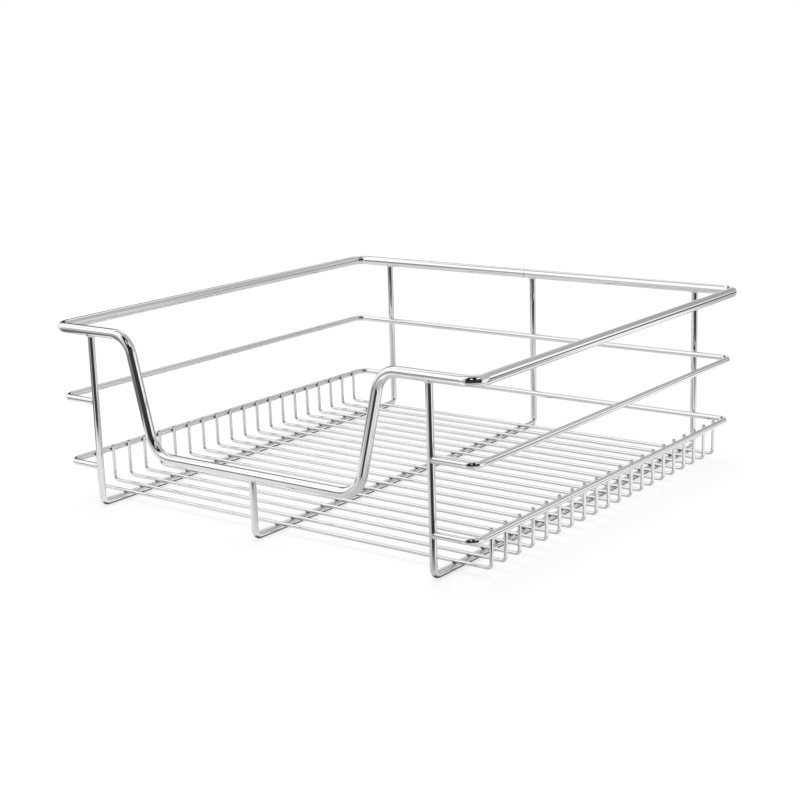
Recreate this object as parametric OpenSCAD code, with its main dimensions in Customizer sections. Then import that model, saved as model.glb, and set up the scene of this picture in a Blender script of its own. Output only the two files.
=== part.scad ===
// Pull-out cabinet basket: a chromed, all-welded tray of bent wire.
// Millimetres. The origin is on the resting plane, under the middle of the basket.
// +X is the right-hand side, +Y the back and +Z up; the dipped side is the front.

/* [Basket] */
// Width across the lower side rails, centre to centre
rail_span = 436; // [320:2:900]
// How far the middle rail stands outside the lower rail, each side
mid_flare = 2; // [0:0.5:12]
// How far the rim stands outside the lower rail, each side
rim_flare = 4; // [0:0.5:12]
// Depth from the front uprights to the back uprights, centre to centre
depth_span = 430; // [260:2:700]
// Height of the rim's centreline above the resting plane
rim_height = 158; // [125:1:300]
// Height of the middle rail's centreline above the resting plane
mid_height = 95; // [60:1:115]
// Height of the lower rail's centreline above the resting plane
low_height = 36; // [26:1:50]

/* [Wire sizes] */
// Diameter of the rim wire
rim_d = 9; // [6:0.5:12]
// Diameter of the middle and lower rail wires
rail_d = 5.5; // [4:0.5:8]
// Diameter of the three stringer wires under the floor
stringer_d = 6; // [4:0.5:8]
// Diameter of the floor wires
floor_d = 3; // [2:0.25:5]
// Depth that two crossing wires press into each other at a spot weld
weld_bite = 0.3; // [0.1:0.05:0.5]

/* [Bends] */
// Bend radius of the rim's four corners, to the wire's centre
rim_corner_r = 12; // [10:1:36]
// How much thinner the drawn rim wire is in its bends
rim_thinning = 0.02; // [0.01:0.01:0.1]
// Bend radius of the middle and lower rails' corners
rail_corner_r = 10; // [8:1:28]
// Bend radius of a stringer where it turns up into an upright
stringer_bend_r = 6; // [4:0.5:12]
// Bend radius of a floor wire where it turns up beside the lower rail
comb_bend_r = 4; // [2.5:0.5:8]

/* [Front dip] */
// Height of the dip's level run above the resting plane
dip_height = 55; // [25:1:80]
// Length of rim from the basket's side to the dip, measured to sharp corners
dip_shoulder = 87; // [70:1:110]
// Lean of the dip's sides, from upright
dip_lean = 13.5; // [0:0.5:18]
// Radius of the two upper bends of the dip
dip_top_r = 20; // [10:1:24]
// Radius of the two lower bends of the dip
dip_low_r = 24; // [10:1:26]

/* [Stringers] */
// Distance from the lower side rail to the stringer beside it, centre to centre
stringer_inset = 38; // [32:1:48]
// Depth that a side rail's cut front end sinks into the side of its upright
rail_end_bite = 1; // [0.3:0.1:1.6]

/* [Floor] */
// Number of floor wires
floor_wires = 20; // [2:1:28]
// Straight length of side rail left free beyond the first and the last floor wire
floor_end_gap = 12; // [0.5:0.5:40]
// Height of a floor wire's tip above the lower rail's top
comb_tip = 1; // [0:0.5:4]

/* [Hidden] */
$fn = 40;
chrome = [0.80, 0.81, 0.83];
bright_chrome = [0.88, 0.89, 0.91];

// Half sizes and heights of the wires' centrelines
low_x = rail_span / 2;
mid_x = low_x + mid_flare;
rim_x = low_x + rim_flare;
upright_y = depth_span / 2;
rail_y = upright_y - (stringer_d + rail_d) / 2 + weld_bite;
stringer_x = low_x - stringer_inset;
stringer_z = stringer_d / 2;
floor_z = stringer_d + floor_d / 2 - weld_bite;
comb_x = low_x - (rail_d + floor_d) / 2 + weld_bite;
comb_top = low_height + rail_d / 2 + comb_tip;

// The floor wires share out the straight stretch of the lower side rail
floor_reach = rail_y - rail_corner_r - floor_end_gap;
floor_pitch = 2 * floor_reach / (floor_wires - 1);

// The dip's lower bends stand further in than its upper ones, by its lean
dip_top_x = rim_x - dip_shoulder;
dip_low_x = dip_top_x - (rim_height - dip_height) * tan(dip_lean);

// An upright's cut end is pressed into the round underside of the rim
rim_seat = rim_d / 2 - 2 * weld_bite;
// The rim's straight lengths run this far into its thinner bends
rim_lap = 2.5 * rim_thinning;

function unit(v) = v / norm(v);
// Length of straight wire that a bend of radius r takes from each side of its corner
function bend_take(r, turn) = r * tan(turn / 2);
function turn_at(before, corner, after) =
    let (a = unit(corner - before), b = unit(after - corner)) acos(a * b);

// One round wire through a list of corners [[x, y, z], bend radius].
// The ends of an open wire are its first and last points, with radius 0.
// In its bends the wire is thinner by thinning, and a straight length then
// runs on into the bend beside it by lap.
module bent_wire(d, corners, closed = false, thinning = 0, lap = 0) {
    n = len(corners);
    spot = [for (c = corners) c[0]];
    turn = [for (i = [0:n - 1])
        closed || (i > 0 && i < n - 1)
            ? turn_at(spot[(i + n - 1) % n], spot[i], spot[(i + 1) % n]) : 0];
    take = [for (i = [0:n - 1]) bend_take(corners[i][1], turn[i])];
    for (i = [0:closed ? n - 1 : n - 2]) {
        j = (i + 1) % n;
        along = unit(spot[j] - spot[i]);
        straight(spot[i] + along * (take[i] - lap), spot[j] - along * (take[j] - lap), d);
    }
    for (i = [0:n - 1])
        if (turn[i] > 0) {
            came = unit(spot[i] - spot[(i + n - 1) % n]);
            goes = unit(spot[(i + 1) % n] - spot[i]);
            inward = unit(goes - came * (goes * came));
            elbow(spot[i] - came * take[i], came, inward, corners[i][1], turn[i], d - thinning);
        }
}

// A straight length of wire from p to q
module straight(p, q, d) {
    v = q - p;
    length = norm(v);
    at(p)
        rotate([0, acos(v[2] / length), atan2(v[1], v[0])])
            cylinder(d = d, h = length);
}

// Moves its child to p in a whole and a small step, which keeps more decimals
module at(p) {
    whole = [for (x = p) round(x)];
    translate(whole)
        translate(p - whole)
            children();
}

// A bend of radius r through an angle, from a point p where the wire runs
// along came and starts to turn inward
module elbow(p, came, inward, r, angle, d) {
    centre = p + inward * r;
    axis = cross(came, inward);
    at(centre)
        multmatrix([
            [-inward[0], came[0], axis[0], 0],
            [-inward[1], came[1], axis[1], 0],
            [-inward[2], came[2], axis[2], 0],
            [0, 0, 0, 1]])
            rotate_extrude(angle = angle)
                translate([r, 0])
                    circle(d = d);
}

// The rim is one closed wire, butt-welded on its back run. Its front run dips
// so that the contents can be reached when the basket is pulled out.
module top_rim() {
    corner = rim_corner_r;
    color(bright_chrome)
        bent_wire(rim_d, closed = true, thinning = rim_thinning, lap = rim_lap, corners = [
            [[-rim_x, upright_y, rim_height], corner],
            [[-rim_x, -upright_y, rim_height], corner],
            [[-dip_top_x, -upright_y, rim_height], dip_top_r],
            [[-dip_low_x, -upright_y, dip_height], dip_low_r],
            [[dip_low_x, -upright_y, dip_height], dip_low_r],
            [[dip_top_x, -upright_y, rim_height], dip_top_r],
            [[rim_x, -upright_y, rim_height], corner],
            [[rim_x, upright_y, rim_height], corner]]);
}

// A side rail is an open C: it starts against the outer side of the left front
// upright, runs round the left side, the back and the right side, inside the
// back uprights, and ends against the outer side of the right front upright.
module side_rail(half_span, height) {
    end_x = stringer_x + stringer_d / 2 - rail_end_bite;
    color(chrome)
        bent_wire(rail_d, [
            [[-end_x, -upright_y, height], 0],
            [[-half_span, -upright_y, height], rail_corner_r],
            [[-half_span, rail_y, height], rail_corner_r],
            [[half_span, rail_y, height], rail_corner_r],
            [[half_span, -upright_y, height], rail_corner_r],
            [[end_x, -upright_y, height], 0]]);
}

module mid_rail() {
    side_rail(mid_x, mid_height);
}

module lower_rail() {
    side_rail(low_x, low_height);
}

// A stringer runs under the floor from front to back and turns up at both
// ends. Its uprights end against the underside of the rim.
module stringer(x, front_rim_z) {
    color(chrome)
        bent_wire(stringer_d, [
            [[x, -upright_y, front_rim_z - rim_seat], 0],
            [[x, -upright_y, stringer_z], stringer_bend_r],
            [[x, upright_y, stringer_z], stringer_bend_r],
            [[x, upright_y, rim_height - rim_seat], 0]]);
}

module left_stringer() {
    stringer(-stringer_x, rim_height);
}

// The middle stringer's short front upright meets the level run of the dip.
module middle_stringer() {
    stringer(0, dip_height);
}

module right_stringer() {
    stringer(stringer_x, rim_height);
}

// A floor wire crosses on top of the stringers and turns up at both ends as
// a comb tooth, spot-welded to the inner face of the lower rail.
module floor_wire(i) {
    y = (i - 1) * floor_pitch - floor_reach;
    color(bright_chrome)
        bent_wire(floor_d, [
            [[-comb_x, y, comb_top], 0],
            [[-comb_x, y, floor_z], comb_bend_r],
            [[comb_x, y, floor_z], comb_bend_r],
            [[comb_x, y, comb_top], 0]]);
}

function floor_name(i) = str("floor_wire_", i < 10 ? "0" : "", i);

top_rim();
mid_rail();
lower_rail();
left_stringer();
middle_stringer();
right_stringer();
for (i = [1:floor_wires])
    floor_wire(i);
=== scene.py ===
# %% [markdown]
# # A pull-out cabinet basket of bent and welded wire
# The real basket is cut, bent, spot-welded and then chrome-plated in one bath,
# so every wire has the same bright skin, and each crossing has a small weld.
# The CAD model gives the frame: where each wire lies and how thick it is.
# Here each wire is drawn again as a smooth swept tube with its welds and cut
# ends, and then stands in a small white studio.

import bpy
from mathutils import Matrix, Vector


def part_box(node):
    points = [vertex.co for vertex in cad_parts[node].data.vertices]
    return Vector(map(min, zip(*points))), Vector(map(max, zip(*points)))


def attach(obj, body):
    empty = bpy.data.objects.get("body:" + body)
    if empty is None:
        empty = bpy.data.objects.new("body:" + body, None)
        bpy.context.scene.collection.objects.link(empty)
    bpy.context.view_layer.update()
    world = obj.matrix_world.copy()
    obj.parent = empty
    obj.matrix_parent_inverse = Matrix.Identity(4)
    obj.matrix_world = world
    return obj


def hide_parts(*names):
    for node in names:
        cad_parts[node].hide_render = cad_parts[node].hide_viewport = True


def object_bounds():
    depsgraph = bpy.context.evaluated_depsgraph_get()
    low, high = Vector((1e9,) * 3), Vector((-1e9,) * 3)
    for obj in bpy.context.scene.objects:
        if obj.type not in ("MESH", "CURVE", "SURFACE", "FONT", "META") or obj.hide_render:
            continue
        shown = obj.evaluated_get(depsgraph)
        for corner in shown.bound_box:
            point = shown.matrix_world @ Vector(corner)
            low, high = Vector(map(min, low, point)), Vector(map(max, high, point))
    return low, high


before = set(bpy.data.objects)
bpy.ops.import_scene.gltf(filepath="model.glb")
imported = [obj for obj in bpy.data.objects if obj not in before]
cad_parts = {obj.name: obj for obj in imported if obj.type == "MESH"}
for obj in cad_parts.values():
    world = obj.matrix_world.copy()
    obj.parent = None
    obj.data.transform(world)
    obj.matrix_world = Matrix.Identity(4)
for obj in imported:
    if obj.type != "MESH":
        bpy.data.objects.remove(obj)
cad_low, cad_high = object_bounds()
cad_size = [round(v * 1000, 2) for v in cad_high - cad_low]
print("frame:", len(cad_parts), "wires, box", cad_size, "mm")

# %% Tools
import math

import bpy
import numpy as np
from mathutils import Matrix, Vector

MM = 0.001
print("Blender", bpy.app.version_string)

# %% [markdown]
# ## Measuring the frame
# A dressed wire has to lie just where its CAD wire lies. Its sizes could be
# typed in again, but then a change to the basket would have to be made twice,
# so they are measured: a wire's box gives its thickness, and half of that in
# from the box's side lies its centreline. Thicknesses are rounded to a tenth
# of a millimetre, as wire gauges are.

# %% Sizes measured on the CAD wires, in millimetres
def measure(node):
    """The lowest and the highest corner of a CAD wire's box."""
    return [[round(v / MM, 2) for v in corner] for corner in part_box(node)]


(_, _, rim_foot), (rim_side, rim_back, rim_top) = measure("top_rim")
_, (mid_side, _, mid_top) = measure("mid_rail")
(_, _, low_foot), (low_side, rail_back, low_top) = measure("lower_rail")
(stringer_in, _, _), (stringer_out, upright_back, upright_top) = measure("right_stringer")
(_, floor_front, floor_foot), (comb_side, floor_back, comb_top) = measure("floor_wire_01")

STRINGER_D = round(stringer_out - stringer_in, 1)
STRINGER_X = (stringer_in + stringer_out) / 2
STRINGER_Z = STRINGER_D / 2
UPRIGHT_Y = upright_back - STRINGER_D / 2

RIM_D = round(2 * (rim_back - UPRIGHT_Y), 1)
RIM_X = rim_side - RIM_D / 2
RIM_Z = rim_top - RIM_D / 2
DIP_Z = rim_foot + RIM_D / 2
RIM_SEAT = RIM_Z - upright_top

RAIL_D = round(low_top - low_foot, 1)
MID_X, MID_Z = mid_side - RAIL_D / 2, mid_top - RAIL_D / 2
LOW_X, LOW_Z = low_side - RAIL_D / 2, low_top - RAIL_D / 2
RAIL_Y = rail_back - RAIL_D / 2

FLOOR_D = round(floor_back - floor_front, 1)
FLOOR_Z = floor_foot + FLOOR_D / 2
COMB_X = comb_side - FLOOR_D / 2
BITE = round(STRINGER_D - floor_foot, 2)
print("wires:", RIM_D, RAIL_D, STRINGER_D, FLOOR_D, "mm, pressed together by", BITE)

# %% Rows of floor wires and stringers
FLOOR_WIRES = sum(node.startswith("floor_wire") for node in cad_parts)
FLOOR_REACH = -(floor_front + floor_back) / 2
FLOOR_PITCH = 2 * FLOOR_REACH / (FLOOR_WIRES - 1)
floor_ys = [-FLOOR_REACH + i * FLOOR_PITCH for i in range(FLOOR_WIRES)]
stringer_xs = (-STRINGER_X, 0.0, STRINGER_X)
print("floor:", FLOOR_WIRES, "wires, pitch", round(FLOOR_PITCH, 3), "mm")

# %% [markdown]
# A box doesn't show how tightly a wire is bent, how the front dip leans, or
# how far a rail's cut end is pressed into its upright. These are the basket's
# driving sizes, written here as they are in the CAD model. The place of the
# rim's butt weld, beside the middle upright, belongs to the dressed wire only.

# %% Bends, the dip and cut ends
RIM_R, RAIL_R, STRINGER_R, COMB_R = 12.0, 10.0, 6.0, 4.0
DIP_TOP_R, DIP_LOW_R = 20.0, 24.0
DIP_SHOULDER, DIP_LEAN = 87.0, 13.5
DIP_TOP_X = RIM_X - DIP_SHOULDER
DIP_LOW_X = DIP_TOP_X - (RIM_Z - DIP_Z) * math.tan(math.radians(DIP_LEAN))
RAIL_END_BITE = 1.0
RAIL_END_X = STRINGER_X + STRINGER_D / 2 - RAIL_END_BITE
SEAM_X = -8.0
print("dip:", round(2 * DIP_TOP_X, 1), "mm wide above,", round(2 * DIP_LOW_X, 1), "below")

# %% [markdown]
# ## From corners to a centreline
# A wire bender thinks in straight lengths and bends, so a wire is written as a
# list of sharp corners, each with a bend radius. The helpers turn it into
# stations along the wire. A bend gets one every few degrees. A straight length
# needs few, but one just beside each bend keeps the bend's shading from
# leaking along the straight, and a handful at each weld lets the weld's mark
# start and end close to it.

# %% Stations along a straight length
BESIDE_BEND = 1.0
LONG_STEP = 30.0
AROUND_WELD = (-4.0, -2.5, -1.5, -0.8, 0.0, 0.8, 1.5, 2.5, 4.0)
WELD_IN_REACH = 8.0
LEAST_STEP = 0.2


def unit(v):
    return v / np.linalg.norm(v)


def straight_cuts(start, way, length, welds):
    """Distances from start, 0 and length among them, that get a station."""
    cuts = {0.0, BESIDE_BEND, length - BESIDE_BEND, length}
    cuts |= set(np.linspace(0, length, 1 + max(1, round(length / LONG_STEP))))
    for weld in welds:
        along = float((np.array(weld) - start) @ way)
        off = np.linalg.norm(np.array(weld) - start - way * along)
        if off < WELD_IN_REACH:
            cuts |= {along + step for step in AROUND_WELD if 0 < along + step < length}
    kept = []
    for cut in sorted(cuts):
        if not kept or cut - kept[-1] > LEAST_STEP:
            kept.append(cut)
    kept[-1] = length
    return kept


test_cuts = straight_cuts(np.zeros(3), np.array([1.0, 0, 0]), 100.0, [(50, 0, 0)])
print("stations on 100 mm of straight wire with one weld:", len(test_cuts))

# %% Stations along a whole wire
BEND_STEP = math.radians(3.0)


def stations(corners, closed=False, welds=()):
    """Points and directions along a wire, with more of them where it bends or is welded."""
    spot = [np.array(place, float) for place, _ in corners]
    count = len(spot)
    bends = {}
    for i in range(count):
        if closed or 0 < i < count - 1:
            came = unit(spot[i] - spot[i - 1])
            goes = unit(spot[(i + 1) % count] - spot[i])
            turn = math.acos(np.clip(came @ goes, -1, 1))
            bends[i] = (came, goes, turn, corners[i][1] * math.tan(turn / 2))
    take = [bends[i][3] if i in bends else 0.0 for i in range(count)]
    points, ways = [], []
    for i in range(count if closed else count - 1):
        j = (i + 1) % count
        way = unit(spot[j] - spot[i])
        start, end = spot[i] + way * take[i], spot[j] - way * take[j]
        for cut in straight_cuts(start, way, float(np.linalg.norm(end - start)), welds):
            points.append(start + way * cut)
            ways.append(way)
        if j in bends:
            came, goes, turn, _ = bends[j]
            radius = corners[j][1]
            inward = unit(goes - came * (goes @ came))
            centre = end + inward * radius
            steps = max(2, math.ceil(turn / BEND_STEP))
            for k in range(1, steps):
                a = turn * k / steps
                points.append(centre + radius * (came * math.sin(a) - inward * math.cos(a)))
                ways.append(came * math.cos(a) + inward * math.sin(a))
    return np.array(points), np.array(ways)


test_wire = [((0, 0, 0), 0), ((50, 0, 0), 10), ((50, 50, 0), 0)]
print("stations on a wire with one right angle:", len(stations(test_wire)[0]))

# %% [markdown]
# ## Sweeping the round section
# Blender's curves can bevel a round profile along a path, but a mesh gives
# control over two things that matter for chrome: clean cut ends, and a record
# on every vertex of where it sat before the wire was bent. Drawing lines from
# the wire mill follow the wire through its bends, so the material needs that
# record. A cut end is rounded a little, as the plating rounds it.

# %% Carrying a side direction along the wire
STRAIGHT_ON = 1e-9


def carry(ways, first_side):
    """A pair of side directions at each station, turned no more than the bends ask."""
    side = unit(first_side - ways[0] * (first_side @ ways[0]))
    sides = [side]
    for a, b in zip(ways[:-1], ways[1:]):
        axis = np.cross(a, b)
        sine, cosine = np.linalg.norm(axis), float(a @ b)
        if sine > STRAIGHT_ON:
            axis /= sine
            across = np.cross(axis, side)
            side = side * cosine + across * sine + axis * (axis @ side) * (1 - cosine)
        side = unit(side - b * (side @ b))
        sides.append(side)
    sides = np.array(sides)
    return sides, np.cross(ways, sides)


test_sides, _ = carry(stations(test_wire)[1], np.array([0.0, 0.0, 1.0]))
print("side direction after the right angle:", test_sides[-1].round(3))

# %% Rings of a wire
END_ROUND = 0.35
END_STEPS = 4
NEARLY_ALONG = 0.9


def end_rings(radius):
    """Distance from the cut and radius of the rings that round off a cut end."""
    flat = radius - END_ROUND
    rings = [(0.0, flat / 2)]
    for k in range(END_STEPS, -1, -1):
        a = math.pi / 2 * k / END_STEPS
        rings.append((END_ROUND * (1 - math.sin(a)), flat + END_ROUND * math.cos(a)))
    return rings


def wire_rings(corners, diameter, closed, welds, thinner):
    """Each ring's centre, two side directions, distance along the wire and radius."""
    points, ways = stations(corners, closed, welds)
    steps = np.linalg.norm(np.diff(points, axis=0), axis=1)
    along = np.concatenate([[0], np.cumsum(steps)])
    first_side = np.array([0.0, 0.0, 1.0])
    if abs(first_side @ ways[0]) > NEARLY_ALONG:
        first_side = np.array([0.0, 1.0, 0.0])
    sides, others = carry(ways, first_side)
    radius = np.full(len(points), diameter / 2)
    if thinner:
        radius -= np.array([thinner(point) for point in points])
    rings = list(zip(points, sides, others, along, radius))
    if closed:
        return rings
    ends = end_rings(diameter / 2)
    head = [(points[0] + ways[0] * d, sides[0], others[0], d, r) for d, r in ends]
    tail = [
        (points[-1] - ways[-1] * d, sides[-1], others[-1], along[-1] - d, r)
        for d, r in reversed(ends)
    ]
    body = [ring for ring in rings[1:-1] if END_ROUND < ring[3] < along[-1] - END_ROUND]
    return head + body + tail


print("rings of that wire, 3 mm thick:", len(wire_rings(test_wire, 3.0, False, (), None)))

# %% Sweep helper
def tube(corners, diameter, around, closed=False, welds=(), thinner=None):
    """Vertices, faces and unbent places of one round wire."""
    rings = wire_rings(corners, diameter, closed, welds, thinner)
    angle = np.arange(around) * 2 * math.pi / around
    cosine, sine = np.cos(angle), np.sin(angle)
    verts, unbent = [], []
    for centre, side, other, distance, r in rings:
        verts.append(centre + r * (np.outer(cosine, side) + np.outer(sine, other)))
        unbent.append(np.stack([r * cosine, r * sine, np.full(around, distance)], 1))
    verts, unbent = np.concatenate(verts), np.concatenate(unbent)
    count = len(rings)
    turn = [(i, (i + 1) % around) for i in range(around)]
    faces = []
    for k in range(count if closed else count - 1):
        here, there = k * around, (k + 1) % count * around
        faces += [(here + i, here + j, there + j, there + i) for i, j in turn]
    if not closed:
        hub, last = len(verts), (count - 1) * around
        verts = np.concatenate([verts, [rings[0][0], rings[-1][0]]])
        unbent = np.concatenate([unbent, [[0, 0, 0], [0, 0, rings[-1][3]]]])
        faces += [(hub, j, i) for i, j in turn]
        faces += [(hub + 1, last + i, last + j) for i, j in turn]
    return verts, faces, unbent


print("vertices of that wire:", len(tube(test_wire, 3.0, 24)[0]))

# %% [markdown]
# ## Welds
# At a spot weld two wires are pressed into each other while the current melts
# the touching metal, and a little of it squeezes out as a ring in the corner
# between them. The plating then rounds that ring off. It is small, but bright
# metal shows it as a speck, which is how an eye tells a welded basket from a
# pile of rods. A bump in the material would vanish at the outline, so each
# ring is a closed little solid, hollow outwards, with its edges sunk just
# under the skins of the two wires.

# %% Parts that every weld shares
WELD_SIDES = 24
WELD_STEPS = 5
WELD_SECTION = WELD_STEPS + 4
WELD_ANGLES = [2 * math.pi * i / WELD_SIDES for i in range(WELD_SIDES)]
EDGE_SUNK = 0.05


def skin_height(radius, off):
    """How high a round wire's skin is over its axis, off to the side of its top."""
    return math.sqrt(max(radius**2 - off**2, 0))


def ring_faces():
    """Outward faces of a ring of WELD_SIDES sections with WELD_SECTION points each."""
    faces = []
    for i in range(WELD_SIDES):
        here, there = i * WELD_SECTION, (i + 1) % WELD_SIDES * WELD_SECTION
        for j in range(WELD_SECTION):
            k = (j + 1) % WELD_SECTION
            faces.append((here + j, there + j, there + k, here + k))
    return faces


print("a weld ring has", len(ring_faces()), "faces")

# %% Weld ring between two crossing wires
FLOOR_RING_GAP, BACK_RING_GAP = 0.8, 0.6
RING_HOLLOW = 0.5
RING_CORE = 0.5
RING_REACH = 1.6
HALVINGS = 30
CORE_SUNK = 0.4
# How dark a weld ring is painted: duller plating and painted shade of the corner.
RING_DULL_SHADE = 1.0


def cross_weld(point, way_a, radius_a, way_b, radius_b, gap):
    """The ring squeezed out between wire a, with its axis through point, and wire b.

    Wire b crosses on the side way_a x way_b. Round the weld, the ring reaches
    out to where the two skins are gap apart."""
    point, a, b = (np.array(v, float) for v in (point, way_a, way_b))
    apart = np.cross(a, b)
    between_axes = radius_a + radius_b - BITE

    def skins(r, angle):
        """Heights of both skins over wire a's axis, r out from the weld's middle."""
        low = skin_height(radius_a, r * math.sin(angle))
        return low, between_axes - skin_height(radius_b, r * math.cos(angle))

    verts = []
    for angle in WELD_ANGLES:
        out, far = 0.0, min(radius_a, radius_b) * RING_REACH
        for _ in range(HALVINGS):
            middle = (out + far) / 2
            low, high = skins(middle, angle)
            if high - low < gap:
                out = middle
            else:
                far = middle
        core = out * RING_CORE
        (out_low, out_high), (core_low, core_high) = skins(out, angle), skins(core, angle)
        section = [(core, core_low - CORE_SUNK), (out, out_low - EDGE_SUNK)]
        for j in range(WELD_STEPS):
            share = j / (WELD_STEPS - 1)
            r = out - RING_HOLLOW * math.sin(math.pi * share)
            low, high = skins(r, angle)
            section.append((r, low + (high - low) * share))
        section += [(out, out_high + EDGE_SUNK), (core, core_high + CORE_SUNK)]
        outward = a * math.cos(angle) + b * math.sin(angle)
        verts += [point + outward * r + apart * height for r, height in section]
    return np.array(verts), ring_faces(), RING_DULL_SHADE


test_ring, _, _ = cross_weld(
    (0, 0, 0), (0, -1, 0), STRINGER_D / 2, (1, 0, 0), FLOOR_D / 2, FLOOR_RING_GAP
)
print("a floor wire's weld ring is", np.ptp(test_ring, axis=0).round(1), "mm in size")

# %% [markdown]
# Where a wire ends against another's side, the metal stands round the cut end.
# The rails' ends have a hollow fillet and the uprights a full round bead, and
# one outline serves both: a curve from the ending wire to the other, pulled in
# for a fillet and out for a bead. These welds lie open to the plating bath and
# out of the deep corners, so they are painted less dark than the rings; that
# darkening is partly duller plating and partly painted shade.

# %% Weld bead round a wire that ends against another
RAIL_FILLET, RIM_BEAD = (0.8, 0.3), (1.0, 1.0)
BEAD_CORE = 0.6
BEAD_LEAST = 0.12
SIDE_SHARE = 0.97
NO_SIDE = 1e-6
# How dark a bead is painted: duller plating and painted shade, less than a ring.
BEAD_DULL_SHADE = 0.5


def end_weld(point, way, radius, big_way, big_radius, size, bulge):
    """The bead of a wire that runs along way and ends on the side of a bigger one.

    The bigger wire runs along big_way, with its axis through point. A bulge of
    0 is a deep hollow and 1 is a full round."""
    point, way, big_way = (np.array(v, float) for v in (point, way, big_way))
    side = np.cross(way, big_way)
    verts = []
    for angle in WELD_ANGLES:
        across = abs(math.sin(angle))
        edge = SIDE_SHARE * big_radius / max(across, NO_SIDE)
        far = min(radius + size, max(radius + BEAD_LEAST, edge))
        foot = skin_height(big_radius, radius * across)
        on_end = np.array([radius, foot + size])
        on_side = np.array([far, skin_height(big_radius, far * across)])
        deepest, fullest = np.array([radius, foot]), np.array([far, foot + size])
        middle = deepest * (1 - bulge) + fullest * bulge
        section = [(radius - BEAD_CORE, foot + size), (radius - EDGE_SUNK, foot + size + EDGE_SUNK)]
        for j in range(WELD_STEPS):
            share = j / (WELD_STEPS - 1)
            rest = 1 - share
            section.append(rest**2 * on_end + 2 * share * rest * middle + share**2 * on_side)
        section += [(far, on_side[1] - EDGE_SUNK), (radius - BEAD_CORE, foot - BEAD_CORE)]
        outward = big_way * math.cos(angle) + side * math.sin(angle)
        verts += [point + outward * r - way * height for r, height in section]
    return np.array(verts), ring_faces(), BEAD_DULL_SHADE


test_bead, _, _ = end_weld((0, 0, 0), (0, 0, 1), STRINGER_D / 2, (1, 0, 0), RIM_D / 2, *RIM_BEAD)
print("an upright's bead is", np.ptp(test_bead, axis=0).round(1), "mm in size")

# %% [markdown]
# ## Shader sums
# Node trees are easier to read as sums. This small class wraps a socket, so
# that `1 - mask` adds a Math node. Every other node comes from `node`, which
# sets what the node is before it fills its sockets.

# %% A socket that can be used in sums
class Signal:
    """A node's output that can be added to and multiplied, or the start of a tree."""

    def __init__(self, tree, socket=None):
        self.tree, self.socket = tree, socket

    def node(self, kind, settings=None, inputs=None, out=0):
        """A new node's output number out, or all its outputs if out is None."""
        made = self.tree.nodes.new(kind)
        for name, value in (settings or {}).items():
            setattr(made, name, value)
        for key, value in (inputs or {}).items():
            if isinstance(value, Signal):
                self.tree.links.new(value.socket, made.inputs[key])
            else:
                made.inputs[key].default_value = value
        if out is None:
            return [Signal(self.tree, socket) for socket in made.outputs]
        return Signal(self.tree, made.outputs[out]) if made.outputs else made

    def sum(self, operation, *terms):
        return self.node("ShaderNodeMath", {"operation": operation}, dict(enumerate(terms)))

    def __add__(self, other):
        return self.sum("ADD", self, other)

    def __sub__(self, other):
        return self.sum("SUBTRACT", self, other)

    def __rsub__(self, other):
        return self.sum("SUBTRACT", other, self)

    def __mul__(self, other):
        return self.sum("MULTIPLY", self, other)

    __radd__, __rmul__ = __add__, __mul__

    def step(self, low, high):
        """0 below low, 1 above high, and smooth between. High may be the lower one."""
        return self.node(
            "ShaderNodeMapRange",
            {"interpolation_type": "SMOOTHSTEP"},
            {"Value": self, "From Min": low, "From Max": high, "To Min": 0.0, "To Max": 1.0},
        )

    def mix(self, first, second):
        """The colour first where self is 0, second where it is 1."""
        inputs = {0: self, 6: first, 7: second}
        return self.node("ShaderNodeMix", {"data_type": "RGBA"}, inputs, out=2)

    def grey(self):
        """A grey colour as bright as self."""
        return self.node("ShaderNodeCombineColor", {}, {0: self, 1: self, 2: self})


print("sums ready:", [name for name in vars(Signal) if name[0] != "_"])

# %% [markdown]
# ## Chrome on drawn wire
# Bright chrome is a mirror with a nearly neutral body. What makes it look like
# plated wire and not like a ray-traced rod is small: the wire was pulled
# through a die, so it has hair-fine lines along its length; the plating is a
# little wavy, so reflections waver; there is a trace of haze in it; and down in
# the corner of a weld the bath left it thin and pitted. There the colour is
# painted dark, with darker specks, partly as duller plating and partly as
# painted shade of the corner. A painted image could show the lines, but it
# would need every wire unrolled.
# Noise that is stretched along the unbent wire runs round the bends by itself.

# %% How much each trace shows
CHROME = (0.868, 0.870, 0.874, 1.0)
HAZY = (0.784, 0.786, 0.790, 1.0)
# The dark colour and the weld and speck amounts below paint weld corners dark: partly duller plating,
# partly painted shade.
DULL_SHADE_COLOUR = (0.160, 0.162, 0.166, 1.0)
LINE_LENGTH_SCALE, WAVE_SCALE, CLOUD_SCALE = 25.0, 85.0, 230.0
HAZE_RANGE, SPECK_RANGE, CORNER_RANGE = (0.52, 0.75), (0.30, 0.60), (0.80, 1.0)
HAZE_COLOUR, WELD_DULL_SHADE, SPECK_DULL_SHADE = 0.12, 0.08, 0.8
POLISH, LINE_ROUGH, HAZE_ROUGH, WELD_ROUGH = 0.012, 0.025, 0.02, 0.03
LINE_HEIGHT, PIT_HEIGHT = 0.05, 4.0


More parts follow.
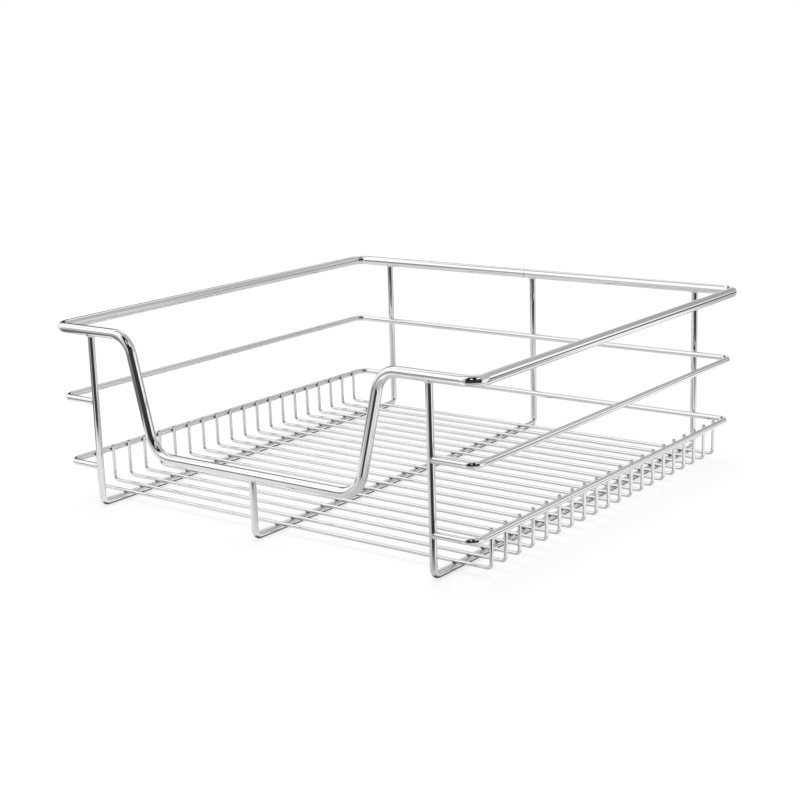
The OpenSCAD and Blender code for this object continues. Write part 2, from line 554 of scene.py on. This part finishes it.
def chrome(name, line_scale, wave_height):
    """A plated finish: line_scale is how fine its lines are, wave_height in metres."""
    material = bpy.data.materials.new(name)
    material.use_nodes = True
    tree = material.node_tree
    tree.nodes.clear()
    new = Signal(tree)

    def noise(place, scale, detail, roughness):
        inputs = {"Vector": place, "Scale": scale, "Detail": detail, "Roughness": roughness}
        return new.node("ShaderNodeTexNoise", {}, inputs)

    unbent = new.node("ShaderNodeAttribute", {"attribute_name": "unbent"}, out=1)
    weld = new.node("ShaderNodeAttribute", {"attribute_name": "weld"}, out=2)
    line_scales = (line_scale, line_scale, LINE_LENGTH_SCALE)
    stretched = new.node("ShaderNodeVectorMath", {"operation": "MULTIPLY"}, {0: unbent, 1: line_scales})
    lines = noise(stretched, scale=1.0, detail=2.0, roughness=0.6)
    waves = noise(unbent, scale=WAVE_SCALE, detail=1.0, roughness=0.4)
    cloud = noise(unbent, scale=CLOUD_SCALE, detail=3.0, roughness=0.6)
    haze = cloud.step(*HAZE_RANGE)
    corner = weld.step(*CORNER_RANGE)
    # Dark specks in a weld's corner: painted shade over pitted plating.
    dull_shade_speck = corner * cloud.step(*SPECK_RANGE)
    skin = (haze * HAZE_COLOUR).mix(CHROME, HAZY)
    # Near a weld the colour is painted darker, as duller plating and as painted shade of the corner.
    colour = (weld * WELD_DULL_SHADE + dull_shade_speck * SPECK_DULL_SHADE).mix(skin, DULL_SHADE_COLOUR)
    rough = lines * LINE_ROUGH + haze * HAZE_ROUGH + weld * WELD_ROUGH + POLISH
    ripple = waves * wave_height + lines * (wave_height * LINE_HEIGHT)
    height = ripple + cloud * corner * (wave_height * PIT_HEIGHT)
    bump = new.node("ShaderNodeBump", {}, {"Height": height, "Strength": 1.0, "Distance": 1.0})
    shader = new.node(
        "ShaderNodeBsdfPrincipled",
        {},
        {"Base Color": colour, "Metallic": 1.0, "Roughness": rough, "Normal": bump, "IOR": 2.5},
    )
    new.node("ShaderNodeOutputMaterial", {}, {"Surface": shader})
    print(name, "has", len(tree.nodes), "nodes")
    return material


# %% The finish of the four wire sizes
finish = {
    "rim_wire": chrome("bright_rim_chrome", line_scale=2600.0, wave_height=28e-6),
    "rail_wire": chrome("rail_chrome", line_scale=3200.0, wave_height=22e-6),
    "stringer_wire": chrome("stringer_chrome", line_scale=3200.0, wave_height=22e-6),
    "floor_wire": chrome("floor_wire_chrome", line_scale=4200.0, wave_height=15e-6),
}
print("finishes:", sorted(finish))

# %% [markdown]
# ## Making a piece
# A piece is one wire with the weld rings that belong to it. Two records go on
# its vertices for the finish: the unbent place, in metres, and how near a weld
# it is, from 0 to 1. The piece replaces its CAD wire, rides on the one body
# that there is, and is named after what it does.

# %% Piece helper
MARK_FADE = 3.2
MARK_EDGE = 1.6
SEAM_HALF = 0.45


def weld_marks(verts, weld_points, seam_x):
    """How near each vertex is to a weld: 1 at it, 0 from MARK_EDGE x MARK_FADE mm on."""
    near = np.zeros(len(verts))
    if seam_x is not None:
        near[(np.abs(verts[:, 0] - seam_x) < SEAM_HALF) & (verts[:, 1] > 0)] = 1.0
    for place in weld_points:
        away = np.linalg.norm(verts - np.array(place), axis=1)
        near = np.maximum(near, np.clip(MARK_EDGE - away / MARK_FADE, 0, 1))
    return near


def add_piece(name, node, slot, wire, rings=(), weld_points=(), seam_x=None):
    """One wire of the basket with its weld rings, in place of its CAD wire."""
    verts, faces, unbent = wire
    near = weld_marks(verts, weld_points, seam_x)
    # Each ring brings how dark it is painted, duller plating and painted shade together.
    for ring, more_faces, dull_shade in rings:
        start = len(verts)
        verts = np.concatenate([verts, ring])
        unbent = np.concatenate([unbent, ring - ring.mean(0)])
        near = np.concatenate([near, np.full(len(ring), dull_shade)])
        faces = faces + [tuple(start + i for i in face) for face in more_faces]
    mesh = bpy.data.meshes.new(name)
    mesh.from_pydata((verts * MM).tolist(), [], faces)
    places = mesh.attributes.new("unbent", "FLOAT_VECTOR", "POINT")
    places.data.foreach_set("vector", (unbent * MM).astype(np.float32).ravel())
    marks = mesh.attributes.new("weld", "FLOAT", "POINT")
    marks.data.foreach_set("value", near.astype(np.float32))
    mesh.shade_smooth()
    mesh.validate()
    piece = bpy.data.objects.new(name, mesh)
    bpy.context.scene.collection.objects.link(piece)
    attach(piece, "root")
    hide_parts(node)
    mesh.materials.append(finish[slot])
    return piece


# %% [markdown]
# ## The rim
# One thick wire runs right round the top. Its front dips between the two outer
# uprights so that a hand can reach in. The loop is closed by a butt weld on the
# back run, ground nearly flush: it shows as a dark hairline round the wire, cut
# here as a groove two tenths of a millimetre deep, because a closed sweep has
# no joint of its own.

# %% Rim with its dip and its butt weld
RIM_AROUND = 48
SEAM_DEPTH = 0.2
BESIDE_SEAM = 0.4
rim_corners = [
    ((-RIM_X, UPRIGHT_Y, RIM_Z), RIM_R),
    ((-RIM_X, -UPRIGHT_Y, RIM_Z), RIM_R),
    ((-DIP_TOP_X, -UPRIGHT_Y, RIM_Z), DIP_TOP_R),
    ((-DIP_LOW_X, -UPRIGHT_Y, DIP_Z), DIP_LOW_R),
    ((DIP_LOW_X, -UPRIGHT_Y, DIP_Z), DIP_LOW_R),
    ((DIP_TOP_X, -UPRIGHT_Y, RIM_Z), DIP_TOP_R),
    ((RIM_X, -UPRIGHT_Y, RIM_Z), RIM_R),
    ((RIM_X, UPRIGHT_Y, RIM_Z), RIM_R),
]
rim_over_uprights = [
    (x, y, DIP_Z if x == 0 and y < 0 else RIM_Z)
    for x in stringer_xs
    for y in (-UPRIGHT_Y, UPRIGHT_Y)
]
seam_places = [(SEAM_X + off, UPRIGHT_Y, RIM_Z) for off in (-BESIDE_SEAM, 0.0, BESIDE_SEAM)]


def seam_groove(place):
    """How much thinner the rim's radius is at this place on its centreline."""
    groove = SEAM_DEPTH * math.exp(-(((place[0] - SEAM_X) / SEAM_HALF) ** 2))
    return groove if place[1] > 0 else 0.0


rim = add_piece(
    "rim_with_dip", "top_rim", "rim_wire",
    tube(rim_corners, RIM_D, RIM_AROUND, closed=True,
         welds=rim_over_uprights + seam_places, thinner=seam_groove),
    weld_points=[(x, y, z - RIM_D / 2) for x, y, z in rim_over_uprights],
    seam_x=SEAM_X,
)
print("rim:", len(rim.data.vertices), "vertices")

# %% [markdown]
# ## The two side rails
# Each rail is an open C. It starts against the side of the left front upright,
# runs round the left side, the back and the right side, and ends against the
# right front upright. Along the back it passes inside the uprights, so its weld
# rings there face outwards. Both rails are the same wire at two heights, so one
# function makes them.

# %% Middle and lower rail
RAIL_AROUND = 36


def rail(name, node, half_span, z):
    corners = [
        ((-RAIL_END_X, -UPRIGHT_Y, z), 0),
        ((-half_span, -UPRIGHT_Y, z), RAIL_R),
        ((-half_span, RAIL_Y, z), RAIL_R),
        ((half_span, RAIL_Y, z), RAIL_R),
        ((half_span, -UPRIGHT_Y, z), RAIL_R),
        ((RAIL_END_X, -UPRIGHT_Y, z), 0),
    ]
    rings = [
        cross_weld((x, RAIL_Y, z), (-1, 0, 0), RAIL_D / 2, (0, 0, 1), STRINGER_D / 2, BACK_RING_GAP)
        for x in stringer_xs
    ]
    marks = [(x, RAIL_Y + RAIL_D / 2, z) for x in stringer_xs]
    for side in (-1, 1):
        upright = (side * STRINGER_X, -UPRIGHT_Y, z)
        rings.append(end_weld(upright, (-side, 0, 0), RAIL_D / 2, (0, 0, 1), STRINGER_D / 2, *RAIL_FILLET))
        marks.append((side * (RAIL_END_X + RAIL_END_BITE), -UPRIGHT_Y, z))
    if node == "lower_rail":
        marks += [(side * (LOW_X - RAIL_D / 2), y, z) for y in floor_ys for side in (-1, 1)]
    return add_piece(name, node, "rail_wire", tube(corners, RAIL_D, RAIL_AROUND, welds=marks), rings, marks)


middle_rail = rail("middle_side_rail", "mid_rail", MID_X, MID_Z)
lower_rail = rail("lower_side_rail", "lower_rail", LOW_X, LOW_Z)
print("rails:", len(middle_rail.data.vertices), len(lower_rail.data.vertices), "vertices")

# %% [markdown]
# ## The three stringers
# A stringer is the basket's backbone: front upright, floor run and back upright
# in one wire. Its cut ends are pressed into the round underside of the rim,
# where a bead of weld metal runs round them. The middle one's front upright is
# short, because it ends under the dip.

# %% Stringers with their rim welds
STRINGER_AROUND = 36


def stringer(name, node, x, front_z):
    corners = [
        ((x, -UPRIGHT_Y, front_z - RIM_SEAT), 0),
        ((x, -UPRIGHT_Y, STRINGER_Z), STRINGER_R),
        ((x, UPRIGHT_Y, STRINGER_Z), STRINGER_R),
        ((x, UPRIGHT_Y, RIM_Z - RIM_SEAT), 0),
    ]
    marks = [(x, y, STRINGER_D) for y in floor_ys]
    for z in (MID_Z, LOW_Z):
        marks.append((x, UPRIGHT_Y - STRINGER_D / 2, z))
        if x:
            marks.append((x + math.copysign(STRINGER_D / 2, x), -UPRIGHT_Y, z))
    rings = []
    for y, z in ((-UPRIGHT_Y, front_z), (UPRIGHT_Y, RIM_Z)):
        marks.append((x, y, z - RIM_D / 2))
        rings.append(end_weld((x, y, z), (0, 0, 1), STRINGER_D / 2, (1, 0, 0), RIM_D / 2, *RIM_BEAD))
    wire = tube(corners, STRINGER_D, STRINGER_AROUND, welds=marks)
    return add_piece(name, node, "stringer_wire", wire, rings, marks)


stringers = [
    stringer("left_stringer_wire", "left_stringer", -STRINGER_X, RIM_Z),
    stringer("middle_stringer_wire", "middle_stringer", 0.0, DIP_Z),
    stringer("right_stringer_wire", "right_stringer", STRINGER_X, RIM_Z),
]
print("stringers:", [len(piece.data.vertices) for piece in stringers], "vertices")

# %% [markdown]
# ## The twenty floor wires
# Thin cross wires lie on the stringers. Both ends turn up as the teeth of a
# comb and are welded to the inner face of the lower rail, and the cut tips
# stand a millimetre above it. Each wire brings its five weld rings.

# %% Floor wires with their comb teeth
FLOOR_AROUND = 24


def floor_wire(number, y):
    corners = [
        ((-COMB_X, y, comb_top), 0),
        ((-COMB_X, y, FLOOR_Z), COMB_R),
        ((COMB_X, y, FLOOR_Z), COMB_R),
        ((COMB_X, y, comb_top), 0),
    ]
    marks = [(x, y, FLOOR_Z - FLOOR_D / 2) for x in stringer_xs]
    rings = [
        cross_weld((x, y, STRINGER_Z), (0, -1, 0), STRINGER_D / 2, (1, 0, 0), FLOOR_D / 2, FLOOR_RING_GAP)
        for x in stringer_xs
    ]
    for side in (-1, 1):
        marks.append((side * (COMB_X + FLOOR_D / 2), y, LOW_Z))
        on_rail = (side * LOW_X, y, LOW_Z)
        rings.append(
            cross_weld(on_rail, (0, 1, 0), RAIL_D / 2, (0, 0, -side), FLOOR_D / 2, FLOOR_RING_GAP)
        )
    wire = tube(corners, FLOOR_D, FLOOR_AROUND, welds=marks)
    name, node = f"floor_cross_wire_{number:02d}", f"floor_wire_{number:02d}"
    return add_piece(name, node, "floor_wire", wire, rings, marks)


floor_pieces = [floor_wire(number, y) for number, y in enumerate(floor_ys, 1)]
print("floor wires:", len(floor_pieces))

# %% [markdown]
# ## The studio
# Chrome has no colour of its own to speak of: what you see in it is the room.
# So the room is the second half of the material. Lamps and cards could stand
# round the basket, but a room written as zones of direction is quicker to
# render and easier to tune. There are white panels to the left, the right and
# over the front left corner, a grey ceiling, and a dark space behind the
# camera, which gives the black cores in the uprights. Narrow dark and bright
# zones draw the fine lines along the side wires. Where two zones overlap, the
# later one covers the earlier. Only reflections see the zones. The camera sees
# plain white, and matt surfaces get an even light.

# %% The zones of the room
ROOM_GREY = 0.52
#  name: middle azimuth, half width, lowest, highest, softness in degrees, brightness
ZONES = {
    "panel over the front left": (-132, 26, 9, 75, 9, 1.17),
    "wall of white on the left": (153, 45, -40, 54, 1.6, 1.18),
    "dark doorway in that wall": (142, 16, -6, 37, 12, 0.03),
    "grey back wall": (93, 29, 11, 33, 12, 0.41),
    "thin dark line behind the right": (60, 9, -2, 4, 2, 0.05),
    "white band above that line": (60, 5.5, 7, 25, 1.5, 1.1),
    "wall of white on the right": (-2, 47, -36, 15, 5, 1.0),
    "bright ground before the table": (-131, 25, -60, -26, 2, 1.2),
    "table's shaded front edge": (-106, 15, -9, -3, 3, 0.1),
    "dark gap under the front panel": (-130, 8, -10, 12, 5, 0.05),
    "dark space behind the camera": (-47, 44, -32, 80, 1.6, 0.04),
    "its unlit upper part": (-47, 42, 22, 80, 4, 0.008),
    "small lamp in the dark": (-59, 8, 38, 56, 2, 1.1),
    "second small lamp": (-15, 12, 38, 56, 2, 1.1),
}


def zone(dx, dy, middle, half, soft):
    """1 where the direction dx, dy lies within half degrees of the middle azimuth."""
    cosine, sine = math.cos(math.radians(middle)), math.sin(math.radians(middle))
    turned = dx.sum("ARCTAN2", dy * cosine - dx * sine, dx * cosine + dy * sine)
    degrees = dx.sum("ABSOLUTE", turned) * math.degrees(1)
    return degrees.step(half + soft, half - soft)


print("zones:", ", ".join(ZONES))

# %% The room that reflections see
PLAIN_WHITE, EVEN_LIGHT = 1.0, 1.0
world = bpy.data.worlds.new("studio")
bpy.context.scene.world = world
world.use_nodes = True
world.node_tree.nodes.clear()
air = Signal(world.node_tree)
looking = air.node("ShaderNodeTexCoord")
dx, dy, dz = air.node("ShaderNodeSeparateXYZ", {}, {0: looking}, out=None)
height_angle = air.sum("ARCSINE", dz) * math.degrees(1)
room = ROOM_GREY
for middle, half, lowest, highest, soft, bright in ZONES.values():
    above = height_angle.step(lowest - soft, lowest + soft)
    below = height_angle.step(highest + soft, highest - soft)
    mask = zone(dx, dy, middle, half, soft) * above * below
    room = room + mask * (bright - room)
is_camera, _, _, is_glossy = air.node("ShaderNodeLightPath", out=None)[:4]
is_other = (1.0 - is_camera) * (1.0 - is_glossy)
level = is_camera * PLAIN_WHITE + is_glossy * room + is_other * EVEN_LIGHT
backdrop = air.node("ShaderNodeBackground", {}, {"Color": level.grey(), "Strength": 1.0})
air.node("ShaderNodeOutputWorld", {}, {"Surface": backdrop})
print("room nodes:", len(world.node_tree.nodes))

# %% [markdown]
# ## The floor
# The basket stands on a white table. To the camera it is plain white with the
# soft shadow of the wires. In the metal it shows more, and that part is written
# as a pattern of brightness, because a lit sheet would need a whole room of
# lamps to look like that. The table's front edge lies just before the basket,
# so metal that looks down to the front sees past it into the room. To the left
# the table ends in a strip of shade, which draws the fine dark line along the
# rim, and to the right and the back it fades to grey, with a dark far corner.

# %% A white sheet for the table
FLOOR_HALF = 40.0
UNDER_WIRES = 0.0002
square = ((-1, -1), (1, -1), (1, 1), (-1, 1))
sheet = bpy.data.meshes.new("white_table")
sheet.from_pydata([(x * FLOOR_HALF, y * FLOOR_HALF, 0) for x, y in square], [], [(0, 1, 2, 3)])
floor = bpy.data.objects.new("white_table", sheet)
bpy.context.scene.collection.objects.link(floor)
floor.location.z = -UNDER_WIRES
print("table sheet:", 2 * FLOOR_HALF, "m wide, so that the camera never sees its end")

# %% Places on the table, in metres
TABLE_TURN = math.radians(37.06)
FRONT_EDGE, LEFT_EDGE = (0.269, 0.369), (-0.391, -0.343)
paper = bpy.data.materials.new("white_table")
paper.use_nodes = True
paper.node_tree.nodes.clear()
ground = Signal(paper.node_tree)
place = ground.node("ShaderNodeNewGeometry")
px, py, _ = ground.node("ShaderNodeSeparateXYZ", {}, {0: place}, out=None)
across, length = ground.sum("ABSOLUTE", px), ground.sum("ABSOLUTE", py)
forward = px * math.sin(TABLE_TURN) - py * math.cos(TABLE_TURN)
on_table = px.step(*LEFT_EDGE)
past_edge = forward.step(*FRONT_EDGE) * on_table
print("the table ends", FRONT_EDGE, "m before the middle and", LEFT_EDGE, "m to the left")

# %% Bright and dark areas of the table
TABLE_BRIGHT = 0.85
SLANT_OFF = 0.02
SHADE_START, SHADE_RISE = -0.065, 0.503
from_slant = ground.sum("ABSOLUTE", px - py + SLANT_OFF)
shade = ground.sum("MINIMUM", SHADE_START - px * SHADE_RISE, 1.0)
beside = px.step(0.222, 0.240) * px.step(0.360, 0.300)
areas = {
    "right half": (px.step(-0.065, 0.105), 0.60),
    "far right": (px.step(0.275, 0.485), 0.28),
    "back": (py.step(-0.20, 0.80), 0.53),
    "slanting window light": (from_slant.step(0.20, 0.09) * py.step(0.18, 0.26), 1.0),
    "far corner": (px.step(0.75, 0.95) * py.step(0.80, 1.20), 0.08),
    "shade left of the table": ((1.0 - on_table) * py.step(0.0, -0.29), shade),
    "close on the basket's right": (beside * length.step(0.33, 0.26), 0.95),
}
table = TABLE_BRIGHT
for mask, bright in areas.values():
    table = table + mask * (bright - table)
print("areas:", ", ".join(areas))

# %% [markdown]
# Close under a wire the table is in that wire's own shade. The wires' lower
# faces mirror it, and it gives each floor wire its grey lower line and each
# stringer its dark sides. Ray tracing can't find that shade here, because the
# pattern glows and isn't lit, so it is written too: a row of stripes under the
# floor wires and one strip along each stringer. Inside the basket, all the
# bright metal round about makes the table a little brighter.

# %% Shade close under the wires
ROW_SHADE, ROW_EDGE = 0.52, (0.0058, 0.0028)
ROW_SIDES, ROW_ENDS = (0.216, 0.213), (0.193, 0.190)
STRIP_SHADE, STRIP_EDGE, STRIP_ENDS = 0.88, (0.0060, 0.0034), (0.219, 0.215)
INSIDE_GLOW, INSIDE_SIDES, INSIDE_ENDS = 0.20, (0.222, 0.205), (0.215, 0.190)
pitch = FLOOR_PITCH * MM
row = ground.sum("FRACT", py * (1 / pitch) + (FLOOR_REACH / FLOOR_PITCH + 0.5))
from_wire = ground.sum("ABSOLUTE", row - 0.5) * pitch
under = from_wire.step(*ROW_EDGE) * across.step(*ROW_SIDES) * length.step(*ROW_ENDS) * ROW_SHADE
for x in (0.0, STRINGER_X * MM):
    from_stringer = ground.sum("ABSOLUTE", across - x)
    strip = from_stringer.step(*STRIP_EDGE) * length.step(*STRIP_ENDS) * STRIP_SHADE
    under = ground.sum("MAXIMUM", under, strip)
inside = across.step(*INSIDE_SIDES) * length.step(*INSIDE_ENDS)
table = table * (1.0 + inside * INSIDE_GLOW) * (1.0 - under)
print("shade stripes every", round(FLOOR_PITCH, 2), "mm")

# %% White paper for the camera, the pattern for the metal
PAPER_GREY = (0.30, 0.30, 0.30, 1.0)
WHITE = (1.0, 1.0, 1.0, 1.0)
TABLE_GLOW = 0.66
matt = ground.node("ShaderNodeBsdfDiffuse", {}, {"Color": PAPER_GREY})
shine = ground.node("ShaderNodeEmission", {}, {"Color": WHITE, "Strength": TABLE_GLOW})
seen_plain = ground.node("ShaderNodeAddShader", {}, {0: matt, 1: shine})
mirrored = ground.node("ShaderNodeEmission", {}, {"Color": table.grey(), "Strength": 1.0})
gone = ground.node("ShaderNodeBsdfTransparent", {}, {"Color": WHITE})
in_mirror = ground.node("ShaderNodeMixShader", {}, {0: past_edge, 1: mirrored, 2: gone})
is_glossy = ground.node("ShaderNodeLightPath", out=None)[3]
both = ground.node("ShaderNodeMixShader", {}, {0: is_glossy, 1: seen_plain, 2: in_mirror})
ground.node("ShaderNodeOutputMaterial", {}, {"Surface": both})
sheet.materials.append(paper)
print("table nodes:", len(paper.node_tree.nodes))

# %% [markdown]
# ## Lamp and camera
# One wide, far lamp high over the back left gives the faint shadow. An area
# lamp would do, but a sun lamp's light is the same everywhere on the table.
# Reflections leave it out, because the room's zones already hold its panel. The
# camera looks from the right of the front, a little above the rim, through a
# long lens that keeps the basket's sides nearly parallel.

# %% Soft lamp
LIGHT_WAY = Vector((0.5, -0.25, -1.1))
lamp = bpy.data.lights.new("soft_lamp", "SUN")
lamp.energy = 0.9
lamp.angle = math.radians(50)
panel = bpy.data.objects.new("soft_lamp", lamp)
bpy.context.scene.collection.objects.link(panel)
panel.rotation_euler = LIGHT_WAY.to_track_quat("-Z", "Y").to_euler()
panel.visible_glossy = False
print("lamp:", round(lamp.energy, 2), "strong,", round(math.degrees(lamp.angle)), "degrees wide")

# %% Camera
CAMERA_AT = Vector((0.8500, -1.1381, 0.4161))
AZIMUTH, ELEVATION, ROLL = (math.radians(v) for v in (37.06, 13.58, -1.748))
right = Vector((math.cos(AZIMUTH), math.sin(AZIMUTH), 0))
flat = math.cos(ELEVATION)
back = Vector((math.sin(AZIMUTH) * flat, -math.cos(AZIMUTH) * flat, math.sin(ELEVATION)))
up = back.cross(right)
rolled_right = right * math.cos(ROLL) + up * math.sin(ROLL)
rolled_up = up * math.cos(ROLL) - right * math.sin(ROLL)
lens = bpy.data.cameras.new("camera")
lens.sensor_width = 36.0
lens.lens = 71.83
camera = bpy.data.objects.new("camera", lens)
bpy.context.scene.collection.objects.link(camera)
turned = Matrix((rolled_right, rolled_up, back)).transposed().to_4x4()
camera.matrix_world = Matrix.Translation(CAMERA_AT) @ turned
bpy.context.scene.camera = camera
bpy.context.scene.view_settings.view_transform = "Standard"
print("camera at", tuple(round(v, 3) for v in camera.location))

# %% [markdown]
# ## The dressed basket and its frame
# The dressed basket has to fill the CAD model's box and nothing more.
